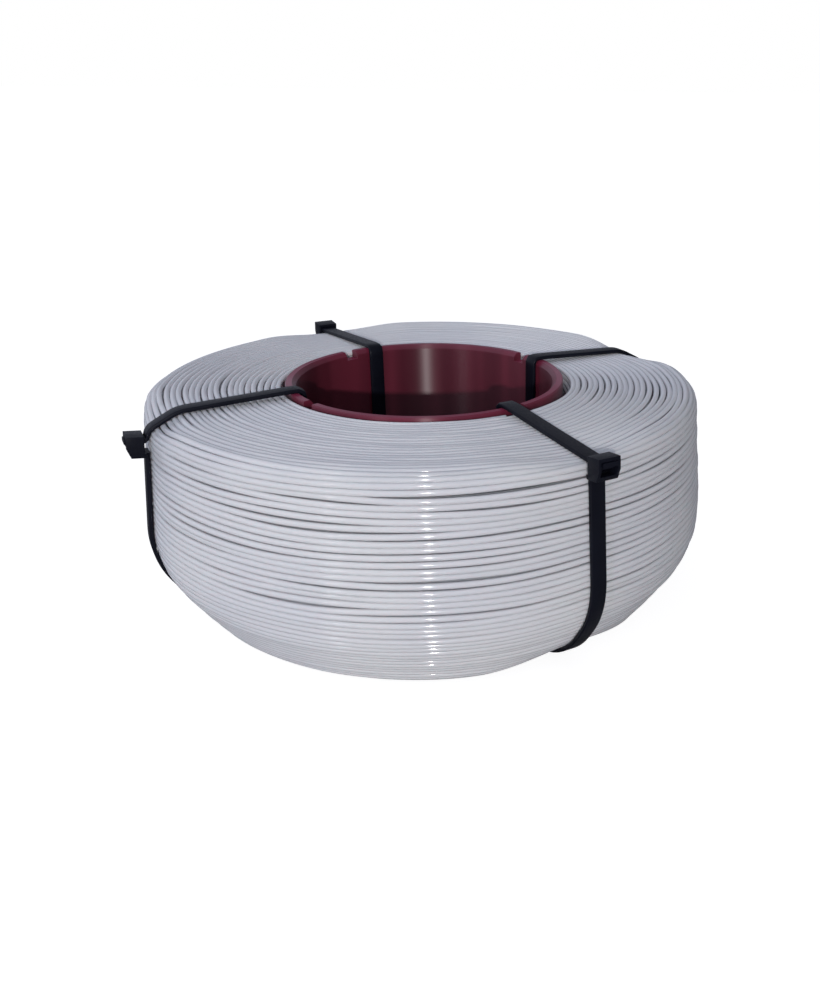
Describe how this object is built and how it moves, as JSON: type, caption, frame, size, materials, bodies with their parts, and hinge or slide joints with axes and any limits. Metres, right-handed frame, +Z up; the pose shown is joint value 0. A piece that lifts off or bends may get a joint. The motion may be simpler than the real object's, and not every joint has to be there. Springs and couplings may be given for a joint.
{
  "type": "filament refill coil",
  "caption": "Flangeless refill coil of white filament wound on a thin notched red core tube and held shut by black cable ties round its section.",
  "frame": {"origin": "on the coil's axis, at the level that the undersides of the cable ties lie on", "axes": "+Z up the axis of the core tube; -Y towards the side with the two visible tie heads; +X to that side's right"},
  "size_m": [0.1752, 0.1752, 0.0696],
  "materials": {
    "core": "glossy dark red translucent plastic with upright streaks of sheen",
    "filament": "glossy white plastic strand",
    "tie": "satin black nylon"
  },
  "bodies": {
    "coil": {"core_ring": "core", "filament_winding": "filament", "tie_front_right": "tie", "tie_left": "tie", "tie_back_left": "tie", "tie_back_right": "tie"},
    "pawl_front_right": {"pawl_front_right": "tie"},
    "pawl_left": {"pawl_left": "tie"},
    "pawl_back_left": {"pawl_back_left": "tie"},
    "pawl_back_right": {"pawl_back_right": "tie"}
  },
  "joints": [
    {"name": "pawl_flex_front_right", "type": "hinge", "parent": "coil", "child": "pawl_front_right", "pos_m": [0.04322, -0.07458, 0.06325], "axis": [0.8949, 0.4462, 0], "range_deg": [0, 12], "stiffness_Nm_per_rad": 0.02},
    {"name": "pawl_flex_left", "type": "hinge", "parent": "coil", "child": "pawl_left", "pos_m": [-0.08084, -0.03103, 0.05705], "axis": [0.3584, -0.9336, 0], "range_deg": [0, 12], "stiffness_Nm_per_rad": 0.02},
    {"name": "pawl_flex_back_left", "type": "hinge", "parent": "coil", "child": "pawl_back_left", "pos_m": [-0.03676, 0.07777, 0.06325], "axis": [-0.9041, -0.4274, 0], "range_deg": [0, 12], "stiffness_Nm_per_rad": 0.02},
    {"name": "pawl_flex_back_right", "type": "hinge", "parent": "coil", "child": "pawl_back_right", "pos_m": [0.07826, 0.03936, 0.04595], "axis": [-0.4493, 0.8934, 0], "range_deg": [0, 12], "stiffness_Nm_per_rad": 0.02}
  ]
}
